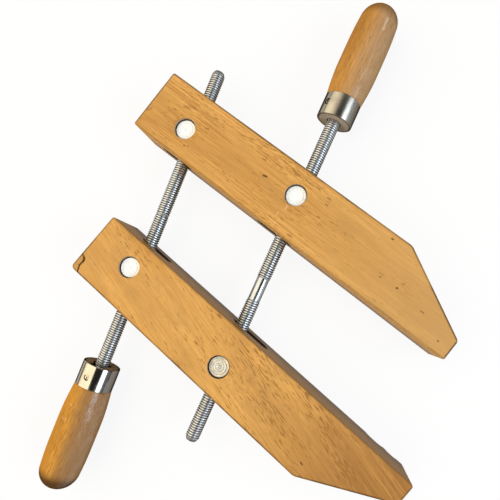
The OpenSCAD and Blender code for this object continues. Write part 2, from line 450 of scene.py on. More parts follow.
def jawWood(name, place, figure):
    look = jawWoodLook
    material, tree, shader = startMaterial(name, {"Specular IOR Level": look["sheen"]})
    length, width, thickness = clamp["jawLength"], clamp["jawWidth"], clamp["jawThickness"]
    here = pieceCoordinates(tree, place)
    turned = grainCoordinates(tree, here, (0, 0, figure["grainTurn"]), figure["grainShift"])
    x, y, z = split(tree, here)
    fleckFrom = remap(tree, x, *figure["fleckSpan"], *figure["fleckFrom"])
    fleckFrom = plus(tree, fleckFrom, remap(tree, y, *look["fleckFadeSpan"], 0.0, figure["fleckFade"]))
    fleckTo = plus(tree, fleckFrom, look["fleckSoft"])
    grain = useGroup(tree, grainGroup, {"Place": turned, "Fleck From": fleckFrom, "Fleck To": fleckTo})
    colour = blendColour(tree, grain["Drift"], look["deep"], look["pale"])
    colour = blendColour(tree, times(tree, grain["Mottle"], look["mottleShare"]), colour, look["mottle"])
    lineShare = times(tree, grain["Lines"], remap(tree, x, *look["lineSpan"], *figure["lineStrength"]))
    lineShare = times(tree, lineShare, remap(tree, grain["Cloud"], *look["lineFade"]))
    colour = blendColour(tree, lineShare, colour, look["line"])
    fleckShare = times(tree, grain["Flecks"], figure["fleckStrength"])
    colour = blendColour(tree, fleckShare, colour, look["fleck"])
    grimeShare = remap(tree, grain["Cloud"], *look["grimeSpan"], 0.0, figure["grimeStrength"])
    colour = blendColour(tree, grimeShare, colour, look["grime"])
    # a darker band of heartwood towards the tip
    streaks = noise(tree, turned, *look["streaks"])
    bandShare = times(tree, remap(tree, x, *figure["bandSpan"]), remap(tree, streaks, *look["streakSpan"]))
    bandShare = times(tree, bandShare, figure["bandStrength"])
    colour = blendColour(tree, bandShare, colour, figure["bandTone"])
    # how far a point is from the jaw's outline and from its two faces
    taperRise = width - clamp["tipWidth"]
    slope = math.hypot(taperRise, clamp["taperLength"])
    fromTip = minus(tree, length, x)
    taperAlong = times(tree, fromTip, taperRise / slope)
    taperAcross = times(tree, minus(tree, clamp["tipWidth"], y), clamp["taperLength"] / slope)
    back = smaller(tree, minus(tree, width, y), plus(tree, taperAlong, taperAcross))
    ends = smaller(tree, x, fromTip)
    rim = smaller(tree, smaller(tree, y, back), ends)
    depth = smaller(tree, z, minus(tree, thickness, z))
    # end grain
    colour = blendColour(tree, remap(tree, ends, *look["endGrain"]), colour, look["grime"])
    # the clamping face is greyed by use and painted darker as shade
    greyedAndShaded = remap(tree, y, *look["faceSpan"], 0.0, figure["innerGreyAndShade"])
    colour = blendColour(tree, greyedAndShaded, colour, figure["innerToneAndShade"])
    # the edges are painted dark as shade, more so in patches and less along the clamping face
    nearEdge = remap(tree, plus(tree, rim, depth), *look["edgeSpan"])
    edgeShare = remap(tree, y, *look["edgeShadeFace"])
    edgeShare = times(tree, edgeShare, remap(tree, grain["Cloud"], *look["edgePatches"]))
    colour = blendColour(tree, times(tree, nearEdge, edgeShare), colour, look["edge"])
    # the clamping face is painted darker low down, most of all along its lower edge, as painted shade
    onFace = remap(tree, y, *look["faceSpan"], 0.0, look["lowShadeShare"])
    colour = blendColour(tree, times(tree, remap(tree, z, *look["lowShadeSpan"]), onFace), colour, look["edge"])
    nearFace = remap(tree, y, *look["lowShadeLineFace"], 0.0, look["lowShadeShare"])
    lowShadeLine = times(tree, remap(tree, z, *look["lowShadeLineSpan"]), nearFace)
    colour = blendColour(tree, lowShadeLine, colour, look["insideShade"])
    # bare wood at the rims of the nut holes, and painted shade farther in
    offRim = remap(tree, rim, *look["offRim"])
    bare = times(tree, offRim, remap(tree, depth, *look["bareSpan"]))
    colour = blendColour(tree, bare, colour, look["wall"])
    insideShade = times(tree, offRim, remap(tree, depth, *look["holeShadeSpan"]))
    # the slots are painted dark as shade from their mouths inwards
    lifted = minus(tree, z, thickness / 2)
    mouthEdge = jawShape["slotRadius"] + jawShape["slotFlare"]
    mouthShade = [mouthEdge + margin for margin in look["mouthShade"]]
    slots = ((clamp["rearHole"], jawShape["rearSwing"]), (clamp["frontHole"], jawShape["frontSwing"]))
    for hole, swing in slots:
        sway = times(tree, offBy(tree, y, hole[1]), math.tan(math.radians(swing)))
        beside = minus(tree, offBy(tree, x, hole[0]), sway)
        fromMiddle = lengthOf(tree, joined(tree, larger(tree, beside, 0.0), lifted))
        insideShade = larger(tree, insideShade, remap(tree, fromMiddle, *mouthShade))
    colour = blendColour(tree, insideShade, colour, look["insideShade"])
    # marks drawn on the upper face
    onTop = remap(tree, z, *[thickness - below for below in look["strokeDepth"]])
    for start, end, breadth, tone, strength in figure["strokes"]:
        run = Vector(end) - Vector(start)
        drawn = {"Place": here, "Start": (*start, thickness), "Run": (run.x, run.y, 0), "Width": breadth}
        mask = times(tree, useGroup(tree, strokeGroup, drawn)["Mask"], onTop)
        colour = blendColour(tree, times(tree, mask, strength), colour, look[tone])
    tree.links.new(colour, shader.inputs["Base Color"])
    tree.links.new(remap(tree, grain["Fibre"], *look["roughness"]), shader.inputs["Roughness"])
    pores = times(tree, grain["Flecks"], look["fleckDepth"])
    grooves = minus(tree, times(tree, grain["Fibre"], look["fibreRise"]), pores)
    bump = put(tree, "ShaderNodeBump", {"Height": grooves, **look["relief"]})
    tree.links.new(bump.outputs[0], shader.inputs["Normal"])
    return material


handleWoodLook = {
    "line": (0.33, 0.145, 0.036, 1),
    "fleck": (0.20, 0.080, 0.020, 1),
    "grime": (0.10, 0.045, 0.014, 1),
    "insideShade": (0.030, 0.020, 0.012, 1),
    "scratch": (0.86, 0.56, 0.24, 1),
    "crack": (0.09, 0.040, 0.014, 1),
    "highlightStreak": (0.80, 0.66, 0.50, 1),
    "sheen": 0.0,
    "coatIor": 1.6,
    "roughness": (0.3, 0.7, 0.4, 0.55),
    "fleckSpan": (0.55, 0.68),
    "figure": (("Mottle", 0.3, "line"), ("Lines", 0.26, "line"), ("Flecks", 0.42, "fleck")),
    "brownShadeWander": 4,
    "endSpan": (74, 82),
    "mouthSpan": (0.6, 0.3),
    "seamSpan": (10.8, 11.4, 0.0, 0.85),
    "coverStart": (0.4, 1.2),
    "coverEnd": (15.6, 15.2),
    "boreSoft": 0.4,
    "boreSpan": (60, 50),
    "markBreaks": (0.3, 0.6, 0.25, 1.0),
    "patches": ((0.3, 0.3, 0.16), 4.0, 0.65),
    "patchSpan": (0.36, 0.56, 0.35, 1.0),
    "facingSpan": (0.3, 0.7, 1.0, 0.02),
    "thinLacquer": 0.1,
    "ripple": ((0.9, 0.9, 0.45), 3.0, 0.6),
    "fibreRise": 0.5,
    "rippleRise": 2.2,
    "relief": {"Strength": 0.5, "Distance": 0.0002},
    "film": {"Strength": 0.5, "Distance": 0.0005},
}


# a lacquered turning; +Z of its grip runs from the ferrule's mouth to the round end
def handleWood(name, grip, figure):
    look = handleWoodLook
    coat = {"Coat Roughness": figure["coatRough"], "Coat IOR": look["coatIor"]}
    material, tree, shader = startMaterial(name, {"Specular IOR Level": look["sheen"], **coat})
    here = pieceCoordinates(tree, grip)
    turned = grainCoordinates(tree, here, (0, 90, 0), figure["grainShift"])
    fleckFrom, fleckTo = look["fleckSpan"]
    grain = useGroup(tree, grainGroup, {"Place": turned, "Fleck From": fleckFrom, "Fleck To": fleckTo})
    colour = blendColour(tree, grain["Drift"], figure["deep"], figure["pale"])
    # a browner side: partly darker heartwood, partly painted shade and sheen from how the light falls on it
    sideways = dot(tree, here, figure["brownSide"])
    wander = times(tree, grain["Cloud"], look["brownShadeWander"])
    brownShade = remap(tree, plus(tree, sideways, wander), *figure["brownShadeSpan"])
    colour = blendColour(tree, times(tree, brownShade, figure["brownShadeStrength"]), colour, figure["brownShadeTone"])
    for label, strength, tone in look["figure"]:
        colour = blendColour(tree, times(tree, grain[label], strength), colour, look[tone])
    x, y, z = split(tree, here)
    # the round end is darker: partly grime, partly painted shade
    endShare = remap(tree, z, *look["endSpan"], 0.0, figure["endGrimeAndShade"])
    colour = blendColour(tree, endShare, colour, look["grime"])
    mouth = remap(tree, z, *look["mouthSpan"])
    colour = blendColour(tree, mouth, colour, figure["mouthTone"])
    # a dark joint where the ferrule starts, and painted shade on the wood under the ferrule
    radius = lengthOf(tree, joined(tree, x, y))
    seam = times(tree, mouth, remap(tree, radius, *look["seamSpan"]))
    covered = times(tree, remap(tree, z, *look["coverStart"]), remap(tree, z, *look["coverEnd"]))
    colour = blendColour(tree, larger(tree, seam, covered), colour, look["insideShade"])
    # painted shade down the bore
    inBore = remap(tree, radius, figure["mouth"] + look["boreSoft"], figure["mouth"])
    bore = times(tree, inBore, remap(tree, z, *look["boreSpan"]))
    colour = blendColour(tree, bore, colour, look["insideShade"])
    # scratches, cracks and a painted highlight streak, broken up by the fibre
    broken = remap(tree, grain["Fibre"], *look["markBreaks"])
    for start, end, breadth, tone, strength in figure["marks"]:
        drawn = {"Place": here, "Start": start, "Run": Vector(end) - Vector(start), "Width": breadth}
        mask = times(tree, useGroup(tree, strokeGroup, drawn)["Mask"], broken)
        colour = blendColour(tree, times(tree, mask, strength), colour, look[tone])
    tree.links.new(colour, shader.inputs["Base Color"])
    tree.links.new(remap(tree, grain["Fibre"], *look["roughness"]), shader.inputs["Roughness"])
    # the lacquer is patchy, and thin where it is seen edge on
    patchy = remap(tree, noise(tree, here, *look["patches"]), *look["patchSpan"])
    facing = put(tree, "ShaderNodeLayerWeight", {"Blend": 0.5}).outputs["Facing"]
    lacquer = times(tree, patchy, remap(tree, facing, *look["facingSpan"]))
    kept = remap(tree, sideways, *figure["lacquerSpan"], look["thinLacquer"], figure["lacquer"])
    tree.links.new(times(tree, lacquer, kept), shader.inputs["Coat Weight"])
    ripple = noise(tree, here, *look["ripple"])
    rippleRise = times(tree, ripple, look["rippleRise"])
    relief = plus(tree, times(tree, grain["Fibre"], look["fibreRise"]), rippleRise)
    bump = put(tree, "ShaderNodeBump", {"Height": relief, **look["relief"]})
    tree.links.new(bump.outputs[0], shader.inputs["Normal"])
    film = put(tree, "ShaderNodeBump", {"Height": ripple, **look["film"]})
    tree.links.new(film.outputs[0], shader.inputs["Coat Normal"])
    return material


spindleShape = {
    "crest": 4.75,
    "root": 4.08,
    "plain": 4.2,
    "pitch": 1.5875,
    "profile": (0.28, 0.6, 0.68),
    "turnSteps": 22,
    "chamferLength": 2.6,
    "chamfer": 1.45,
    "runOut": 2.0,
    "sunk": 0.04,
    "mouth": -3.0,
    "shank": 4.2,
    "shankLength": 48.0,
    "shankOverlap": 0.5,
    "shankPoint": 2.0,
    "sides": 48,
}
threadLook = {
    "root": (0.30, 0.30, 0.29, 1),
    "crest": (0.76, 0.78, 0.80, 1),
    "plain": (0.52, 0.54, 0.56, 1),
    "smear": (0.42, 0.42, 0.40, 1),
    "shadeTone": (0.20, 0.185, 0.135, 1),
    "grazing": (0.02, 0.02, 0.02, 1),
    "smears": ((0.5, 0.5, 0.12), 3.0),
    "smearSpan": (0.45, 0.75, 0.0, 0.4),
    "shadeSpan": (3.2, 1.2, 0.0, 0.85),
    "roughness": (0.3, 0.7, 0.32, 0.42),
    "plainShine": 0.14,
    "plainSoft": 0.5,
}


# which way is up, for a piece in its own frame
def upwardIn(place):
    return (place.inverted().to_3x3() @ Vector((0, 0, 1))).normalized()


def threadSteel(name, linePlace, plainAt, plainLength):
    look = threadLook
    # a dark Specular Tint darkens the reflection at grazing angles: painted shade along the outlines
    material, tree, shader = startMaterial(name, {"Metallic": 1.0, "Specular Tint": look["grazing"]})
    here = pieceCoordinates(tree, linePlace)
    x, y, z = split(tree, here)
    radius = lengthOf(tree, joined(tree, x, y))
    # the roots are painted darker than the crests, as painted shade in the grooves
    rise = remap(tree, radius, spindleShape["root"], spindleShape["crest"])
    colour = blendColour(tree, rise, look["root"], look["crest"])
    half = plainLength / 2
    plain = remap(tree, offBy(tree, z, plainAt), half, half - look["plainSoft"])
    colour = blendColour(tree, plain, colour, look["plain"])
    smear = noise(tree, here, *look["smears"])
    colour = blendColour(tree, remap(tree, smear, *look["smearSpan"]), colour, look["smear"])
    # the sides are painted darker, as painted shade on their reflections
    sides = remap(tree, dot(tree, here, upwardIn(linePlace)), *look["shadeSpan"])
    colour = blendColour(tree, sides, colour, look["shadeTone"])
    tree.links.new(colour, shader.inputs["Base Color"])
    worn = remap(tree, smear, *look["roughness"])
    rough = minus(tree, worn, times(tree, plain, look["plainShine"]))
    tree.links.new(rough, shader.inputs["Roughness"])
    return material


platingLook = {
    "smears": (3.0, 0.6),
    "dullSpan": (0.4, 0.75),
    "shineSpan": (0.35, 0.7),
    "shadeWander": 1.5,
    "stripeCore": 0.5,
    "ringWidth": (2.5, 2.15),
}


def plated(name, look, grip=None):
    # a dark Specular Tint darkens the reflection at grazing angles: painted shade along the outlines
    finish = {"Metallic": look["metal"], "Specular Tint": look["grazing"]}
    material, tree, shader = startMaterial(name, finish)
    coordinates = put(tree, "ShaderNodeTexCoord").outputs["Object"]
    smear = noise(tree, coordinates, (1000, 1000, 1000), *platingLook["smears"], look["smearScale"])
    colour = blendColour(tree, remap(tree, smear, *platingLook["dullSpan"]), look["bright"], look["dull"])
    if grip:
        # the sides and the underside of a ferrule are painted darker, as painted shade on their reflections
        here = pieceCoordinates(tree, grip)
        rise = dot(tree, here, upwardIn(grip))
        rise = plus(tree, rise, times(tree, smear, platingLook["shadeWander"]))
        colour = blendColour(tree, remap(tree, rise, *look["shadeSpan"]), colour, look["shadeTone"])
        # a painted darker stripe along it, as painted shade dimming the reflection there
        offStripe = offBy(tree, dot(tree, here, look["stripeSide"]), look["stripeAt"])
        stripeSpan = (look["stripeHalf"], platingLook["stripeCore"])
        stripe = remap(tree, offStripe, *stripeSpan, 0.0, look["stripeStrength"])
        colour = blendColour(tree, stripe, colour, look["shadeTone"])
        # painted shade round the pin, on one side of it
        x, _, z = split(tree, here)
        fromPin = joined(tree, x, 0.0, minus(tree, z, clamp["pinAt"]))
        nearPin = remap(tree, lengthOf(tree, fromPin), *platingLook["ringWidth"])
        oneSide = remap(tree, dot(tree, fromPin, look["ringSide"]), *look["ringSpan"])
        colour = blendColour(tree, times(tree, nearPin, oneSide), colour, look["ring"])
    tree.links.new(colour, shader.inputs["Base Color"])
    rough = remap(tree, smear, *platingLook["shineSpan"], *look["shine"])
    tree.links.new(rough, shader.inputs["Roughness"])
    return material


nickelLook = {
    "shine": (0.1, 0.17),
    "bright": (0.60, 0.55, 0.45, 1),
    "dull": (0.50, 0.455, 0.375, 1),
    "shadeTone": (0.21, 0.19, 0.17, 1),
    "shadeSpan": (10.6, 8.6),
    "ring": (0.05, 0.04, 0.03, 1),
    "ringSide": (0.6, 0, 0.8),
    "ringSpan": (-0.2, 0.8),
    "stripeSide": (-0.88, -0.48, 0),
    "stripeAt": 0.5,
    "stripeHalf": 3.0,
    "stripeStrength": 0.25,
    "grazing": (0.12, 0.11, 0.10, 1),
    "smearScale": 0.12,
    "metal": 1.0,
}
satinLook = {
    "shine": (0.24, 0.3),
    "bright": (0.44, 0.40, 0.335, 1),
    "dull": (0.33, 0.30, 0.255, 1),
    "shadeTone": (0.20, 0.18, 0.15, 1),
    "shadeSpan": (9.6, 7.6),
    "ring": (0.012, 0.010, 0.008, 1),
    "ringSide": (-1, 0, 0),
    "ringSpan": (-1.6, -0.8),
    "stripeSide": (1, 0, 0),
    "stripeAt": 9.0,
    "stripeHalf": 4.0,
    "stripeStrength": 0.85,
    "grazing": (0.12, 0.11, 0.10, 1),
    "smearScale": 0.1,
    "metal": 1.0,
}
nutLook = {
    "shine": (0.45, 0.6),
    "bright": (0.95, 0.98, 1.0, 1),
    "dull": (0.92, 0.95, 0.97, 1),
    "grazing": (0.5, 0.5, 0.5, 1),
    "smearScale": 0.3,
    "metal": 0.15,
}
warmNutLook = {
    **nutLook,
    "bright": (0.74, 0.71, 0.63, 1),
    "dull": (0.56, 0.53, 0.46, 1),
    "metal": 1.0,
}
pinLook = {
    "shine": (0.35, 0.5),
    "bright": (0.34, 0.31, 0.26, 1),
    "dull": (0.20, 0.18, 0.15, 1),
    "grazing": (0.3, 0.3, 0.3, 1),
    "smearScale": 0.8,
    "metal": 1.0,
}
brightPinLook = {
    **pinLook,
    "shine": (0.2, 0.3),
    "bright": (0.62, 0.55, 0.42, 1),
    "dull": (0.30, 0.26, 0.20, 1),
}

nutZinc = plated("nutZinc", nutLook)
nutWarm = plated("nutWarm", warmNutLook)
pinSteel = plated("pinSteel", pinLook)
pinBright = plated("pinBright", brightPinLook)
print("metal finishes ready")

# jaws
def nutHoleCutter(hole):
    r = jawShape["holeRadius"]
    flare = jawShape["holeBreak"]
    top = clamp["jawThickness"]
    soft = flare * (1 - math.cos(math.pi / 4))
    low = flare * math.sin(math.pi / 4)
    rim = [(r, flare), (r + soft, flare - low), (r + flare, 0), (r + flare + 1, -1)]
    points = [(0, -1)] + list(reversed(rim)) + [(x, top - z) for x, z in rim] + [(0, top + 1)]
    bm = spinProfile(points, jawShape["holeSides"])
    bmesh.ops.translate(bm, vec=(hole[0], hole[1], 0), verts=bm.verts)
    return objectFrom(bm, "nutHole")


# a waisted slot: rounded-ended rings that widen away from the nut, flared at the jaw's two faces
def slotCutter(hole, swing):
    r = jawShape["slotRadius"]
    flare = jawShape["slotFlare"]
    spread = math.tan(math.radians(swing))
    slim = r / math.cos(math.radians(swing)) - r
    nearFace = -hole[1]
    farFace = clamp["jawWidth"] - hole[1]
    soft = flare * (1 - math.cos(math.pi / 4))
    low = flare * math.sin(math.pi / 4)
    stations = [
        (nearFace - 1, flare + 1), (nearFace, flare), (nearFace + flare - low, soft), (nearFace + flare, 0),
        (0, 0),
        (farFace - flare, 0), (farFace - flare + low, soft), (farFace, flare), (farFace + 1, flare + 1),
    ]
    sides = jawShape["slotSides"]
    halfStep = turnAbout("Z", 180 / sides).to_3x3()
    upright = turnAbout("X", 90).to_3x3()
    bm = bmesh.new()
    rings = []
    for y, grow in stations:
        ring = bmesh.ops.create_circle(bm, segments=sides, radius=r + grow, cap_ends=False)["verts"]
        bmesh.ops.rotate(bm, cent=(0, 0, 0), matrix=halfStep, verts=ring)
        for side in (-1, 1):
            half = [v for v in ring if v.co.x * side > 0]
            bmesh.ops.translate(bm, vec=(side * (abs(y) * spread + slim), 0, 0), verts=half)
        bmesh.ops.rotate(bm, cent=(0, 0, 0), matrix=upright, verts=ring)
        bmesh.ops.translate(bm, vec=(0, y, 0), verts=ring)
        rings.append(list({e for v in ring for e in v.link_edges}))
    for a, b in zip(rings, rings[1:]):
        bmesh.ops.bridge_loops(bm, edges=a + b)
    bmesh.ops.holes_fill(bm, edges=bm.edges, sides=0)
    bmesh.ops.translate(bm, vec=(hole[0], hole[1], midHeight), verts=bm.verts)
    return objectFrom(bm, "slot")


# a dent or nick: a small ball pressed in from an edge
def dentCutter(dent):
    bm = bmesh.new()
    bmesh.ops.create_icosphere(bm, subdivisions=3, radius=1)
    bmesh.ops.scale(bm, vec=dent["size"], verts=bm.verts)
    bmesh.ops.translate(bm, vec=dent["at"], verts=bm.verts)
    return objectFrom(bm, "dent")


def makeJaw(name, place, shape):
    length = clamp["jawLength"]
    width = clamp["jawWidth"]
    bm = bmesh.new()
    outline = [
        (0, 0), (length, 0), (length, clamp["tipWidth"]), (length - clamp["taperLength"], width), (0, width),
    ]
    verts = [bm.verts.new((x, y, 0)) for x, y in outline]
    bmesh.ops.contextual_create(bm, geom=verts)
    for vert, corner in zip(verts, shape["corners"]):
        bmesh.ops.bevel(
            bm, geom=[vert], offset=corner, offset_type="OFFSET", affect="VERTICES",
            segments=jawShape["cornerSegments"], profile=0.5, material=-1,
        )
    base = list(bm.faces)
    grown = bmesh.ops.extrude_face_region(bm, geom=base, use_keep_orig=True)["geom"]
    lifted = [v for v in grown if isinstance(v, bmesh.types.BMVert)]
    bmesh.ops.translate(bm, vec=(0, 0, clamp["jawThickness"]), verts=lifted)
    bmesh.ops.recalc_face_normals(bm, faces=bm.faces)
    rims = [e for e in bm.edges if abs(e.verts[0].co.z - e.verts[1].co.z) < 1e-6]
    bmesh.ops.bevel(
        bm, geom=rims, offset=jawShape["edge"], offset_type="OFFSET", affect="EDGES",
        segments=jawShape["edgeSegments"], profile=0.5, material=-1,
    )
    cutters = [nutHoleCutter(clamp["rearHole"]), nutHoleCutter(clamp["frontHole"])]
    cutters.append(slotCutter(clamp["rearHole"], jawShape["rearSwing"]))
    cutters.append(slotCutter(clamp["frontHole"], jawShape["frontSwing"]))
    cutters += [dentCutter(dent) for dent in shape["dents"]]
    bm = carve(bm, cutters)
    piece = finishPiece(bm, name, place, sharpAngle=40)
    even = piece.modifiers.new("even", "WEIGHTED_NORMAL")
    even.keep_sharp = True
    return piece


lowerJawShape = {
    "corners": (1.2, 1.8, 1.8, 1.8, 2.8),
    "dents": (
        {"at": (229, -0.3, 0.5), "size": (7.5, 1.3, 4)},
        {"at": (243, -0.4, 0.5), "size": (5.5, 1.0, 3)},
        {"at": (6, 44.7, 39), "size": (4, 1.0, 1.6)},
    ),
}
upperJawShape = {
    "corners": (1.2, 1.3, 1.8, 1.6, 1.6),
    "dents": (
        {"at": (97, 45.0, 38.6), "size": (3.5, 0.9, 1.3)},
        {"at": (104, 45.1, 38.6), "size": (2.2, 1.0, 1.3)},
        {"at": (20, -0.2, 38.5), "size": (6, 0.8, 1.4)},
    ),
}
lowerJawFigure = {
    "grainTurn": -13.0,
    "grainShift": (400, 120, 60),
    "lineStrength": (0.42, 0.55),
    "fleckSpan": (70, 140),
    "fleckFrom": (0.65, 0.55),
    "fleckFade": 0.035,
    "fleckStrength": 0.68,
    "grimeStrength": 0.26,
    "bandSpan": (135.0, 250.0),
    "bandStrength": 1.0,
    "bandTone": (0.35, 0.158, 0.042, 1),
    # its clamping face is greyed by use and painted dark as shade
    "innerGreyAndShade": 0.8,
    "innerToneAndShade": (0.27, 0.132, 0.022, 1),
    "strokes": (
        ((1.0, 35.0), (2.2, 43.0), 5.0, "grime", 0.3),
        ((-0.1, 32.2), (3.7, 34.0), 0.9, "dirt", 0.8),
        ((3.7, 34.0), (4.6, 35.7), 1.2, "dirt", 0.95),
        ((4.6, 35.7), (4.3, 39.5), 0.9, "dirt", 0.95),
        ((4.3, 39.5), (5.2, 41.7), 0.75, "dirt", 0.9),
        ((5.2, 41.7), (6.6, 44.4), 0.75, "dirt", 0.95),
        ((6.6, 44.2), (14.0, 44.6), 0.9, "dirt", 0.8),
        ((196.5, 35.0), (198.0, 35.5), 0.6, "dirt", 0.85),
    ),
}
upperJawFigure = {
    "grainTurn": 0.0,
    "grainShift": (30, 40, 10),
    "lineStrength": (0.74, 0.4),
    "fleckSpan": (130, 190),
    "fleckFrom": (0.62, 0.67),
    "fleckFade": 0.0,
    "fleckStrength": 0.6,
    "grimeStrength": 0.17,
    "bandSpan": (110.0, 250.0),
    "bandStrength": 0.7,
    "bandTone": (0.52, 0.305, 0.118, 1),
    "innerGreyAndShade": 0.7,
    "innerToneAndShade": (0.78, 0.39, 0.060, 1),
    "strokes": (
        ((95.6, 24.4), (97.8, 24.9), 0.9, "dirt", 0.85),
        ((206.5, 17.6), (206.9, 17.8), 0.75, "dirt", 0.95),
        ((207.6, 21.6), (208.6, 22.2), 1.2, "line", 0.6),
        ((194.2, 16.8), (194.9, 17.0), 0.5, "dirt", 0.7),
        ((244.3, 7.0), (244.9, 7.0), 0.6, "dirt", 0.75),
        ((226.0, 15.2), (228.2, 15.3), 0.5, "dirt", 0.6),
        ((185.8, 40.4), (186.8, 40.5), 0.7, "dirt", 0.8),
        ((38.9, 8.6), (39.5, 8.6), 0.6, "dirt", 0.7),
        ((41.3, 10.0), (41.9, 10.0), 0.5, "dirt", 0.6),
        ((119.9, 38.3), (126.5, 38.2), 0.45, "dirt", 0.6),
        ((128.0, 38.7), (130.8, 38.7), 0.4, "dirt", 0.6),
        ((138.0, 37.2), (140.6, 37.3), 0.5, "dirt", 0.55),
        ((139.6, 33.2), (141.4, 33.2), 0.5, "dirt", 0.55),
        ((140.4, 24.0), (142.0, 24.0), 0.5, "dirt", 0.55),
        ((120.6, 17.8), (121.0, 15.2), 0.45, "worn", 0.6),
        ((118.6, 11.0), (118.8, 8.2), 0.4, "worn", 0.5),
        ((121.1, 5.0), (121.1, 3.0), 0.4, "worn", 0.45),
        ((1.2, 12.6), (3.4, 15.6), 1.2, "grime", 0.5),
    ),
}
lowerJaw = makeJaw("lower_jaw_wood", lowerJawPlace, lowerJawShape)
lowerWood = jawWood("lowerJawWood", lowerJawPlace, lowerJawFigure)
dress(lowerJaw, "lower_jaw", "lower_jaw", lowerWood)
upperJaw = makeJaw("upper_jaw_wood", upperJawPlace, upperJawShape)
upperWood = jawWood("upperJawWood", upperJawPlace, upperJawFigure)
dress(upperJaw, "upper_jaw", "upper_jaw", upperWood)
print("jaws ready:", len(lowerJaw.data.polygons), len(upperJaw.data.polygons), "faces")

# swivel nuts
nutShape = {
    "radius": 6.98,
    "half": 16.4,
    "chamfer": 0.5,
    "rings": (1.9, 3.6, 5.2),
    "ringDepth": 0.12,
    "ringWidth": 0.28,
    "dimple": 1.2,
    "sides": 72,
    "boreSides": 48,
}


def makeNut(name, centre, lean, play):
    r = nutShape["radius"]
    top = nutShape["half"]
    w = nutShape["ringWidth"]
    face = [(0, top - nutShape["dimple"]), (nutShape["dimple"], top)]
    for ring in nutShape["rings"]:
        face += [(ring - w, top), (ring, top - nutShape["ringDepth"]), (ring + w, top)]
    face += [(r - nutShape["chamfer"], top), (r, top - nutShape["chamfer"])]
    points = face + [(x, -z) for x, z in reversed(face)]
    bore = roundCutter(spindleShape["crest"] + play, 4 * r, nutShape["boreSides"])
    bm = carve(spinProfile(points, nutShape["sides"]), [bore])
    return finishPiece(bm, name, nutPlace(centre, lean), sharpAngle=30)


# centre, lean, play round the thread and finish of each nut
nuts = {
    "lower_rear_nut": (lowerRear, clamp["rearLean"], 0.3, nutZinc),
    "lower_front_nut": (lowerFront, frontLean, 0.3, nutWarm),
    "upper_rear_nut": (upperRear, clamp["rearLean"], 0.3, nutZinc),
    "upper_front_nut": (upperFront, frontLean, 1.2, nutZinc),
}
for node, (centre, lean, play, finish) in nuts.items():
    dress(makeNut(node + "_turned", centre, lean, play), node, node, finish)
print("nuts ready")

# spindles
# one thread, swept along its helix and drawn in where it runs out
def threadRun(low, high, hand, lowRadius, highRadius, tipAt=None):
    s = spindleShape
    p = s["pitch"]
    turns = math.ceil((high - low) / p) + 1
    bm = bmesh.new()
    crest, root = s["crest"], s["root"]
    crestEnd, rootStart, rootEnd = [share * p for share in s["profile"]]
    outline = [(crest, 0), (crest, crestEnd), (root, rootStart), (root, rootEnd), (crest, p)]
    verts = [bm.verts.new((r, 0, low - p + z)) for r, z in outline]
    edges = [bm.edges.new(pair) for pair in zip(verts, verts[1:])]
    bmesh.ops.spin(
        bm, geom=verts + edges, cent=(0, 0, 0), axis=(0, 0, 1), dvec=(0, 0, p / s["turnSteps"]),
        angle=hand * math.tau, steps=s["turnSteps"], use_merge=False,
    )
    bm = repeated(bm, turns, p)
    bmesh.ops.remove_doubles(bm, verts=bm.verts, dist=1e-4)
    for v in bm.verts:
        z = min(max(v.co.z, low), high)
        r = math.hypot(v.co.x, v.co.y)
        lowShadeShare = max(0.0, 1 - (z - low) / s["runOut"])
        highShare = max(0.0, 1 - (high - z) / s["runOut"])
        if tipAt is not None:
            highShare = 0
            intoTip = max(0.0, z - tipAt + s["chamferLength"])
            r = min(r, crest - s["chamfer"] * intoTip / s["chamferLength"])
        wanted = r + (lowRadius - r) * lowShadeShare
        wanted += (highRadius - wanted) * highShare
        here = math.hypot(v.co.x, v.co.y)
        v.co = (v.co.x * wanted / here, v.co.y * wanted / here, z)
    bmesh.ops.remove_doubles(bm, verts=bm.verts, dist=2e-4)
    bmesh.ops.dissolve_degenerate(bm, edges=bm.edges, dist=1e-4)
    bmesh.ops.holes_fill(bm, edges=bm.edges, sides=0)
    bmesh.ops.recalc_face_normals(bm, faces=bm.faces)
    return bm


def addTo(whole, part):
    mesh = bpy.data.meshes.new("part")
    part.to_mesh(mesh)
    part.free()
    whole.from_mesh(mesh)
    bpy.data.meshes.remove(mesh)


def makeSpindle(name, linePlace, reach, run, plainAt, plainLength):
    s = spindleShape
    plainLow = plainAt - plainLength / 2
    plainHigh = plainAt + plainLength / 2
    inner = s["plain"] - s["sunk"]
    mouthAt = -reach + s["mouth"]
    endAt = -reach - s["shankLength"]
    bm = bmesh.new()
    addTo(bm, threadRun(mouthAt, plainLow + s["runOut"] / 2, -1, inner, inner))
    addTo(bm, threadRun(plainHigh - s["runOut"] / 2, run, 1, inner, inner, tipAt=run))
    sleeve = [(0, plainLow - s["runOut"]), (s["plain"], plainLow - s["runOut"] / 3)]
    sleeve += [(s["plain"], plainHigh + s["runOut"] / 3), (0, plainHigh + s["runOut"])]
    addTo(bm, spinProfile(sleeve, s["sides"]))
    shank = [(0, endAt), (s["shank"], endAt)]
    shank += [(s["shank"], mouthAt + s["shankOverlap"]), (0, mouthAt + s["shankPoint"])]
    addTo(bm, spinProfile(shank, s["sides"]))
    return finishPiece(bm, name, linePlace, sharpAngle=25)


# along each spindle, from its handle-side nut
spindleRuns = {
    "rear": {
        "place": rearLinePlace, "reach": clamp["rearReach"], "run": clamp["rearSpread"] + 52.3,
        "plainAt": 42.0, "plainLength": 0.4,
    },
    "front": {
        "place": frontLinePlace, "reach": clamp["frontReach"], "run": frontSpread + 55.0,
        "plainAt": 65.4, "plainLength": 16.3,
    },
}
for side, run in spindleRuns.items():
    plainStretch = (run["plainAt"], run["plainLength"])
    steel = threadSteel(side + "SpindleSteel", run["place"], *plainStretch)
    spindle = makeSpindle(side + "_spindle_threaded", run["place"], run["reach"], run["run"], *plainStretch)
    dress(spindle, side + "_screw", side + "_spindle", steel)
    print(side, "spindle ready:", len(spindle.data.polygons), "faces")

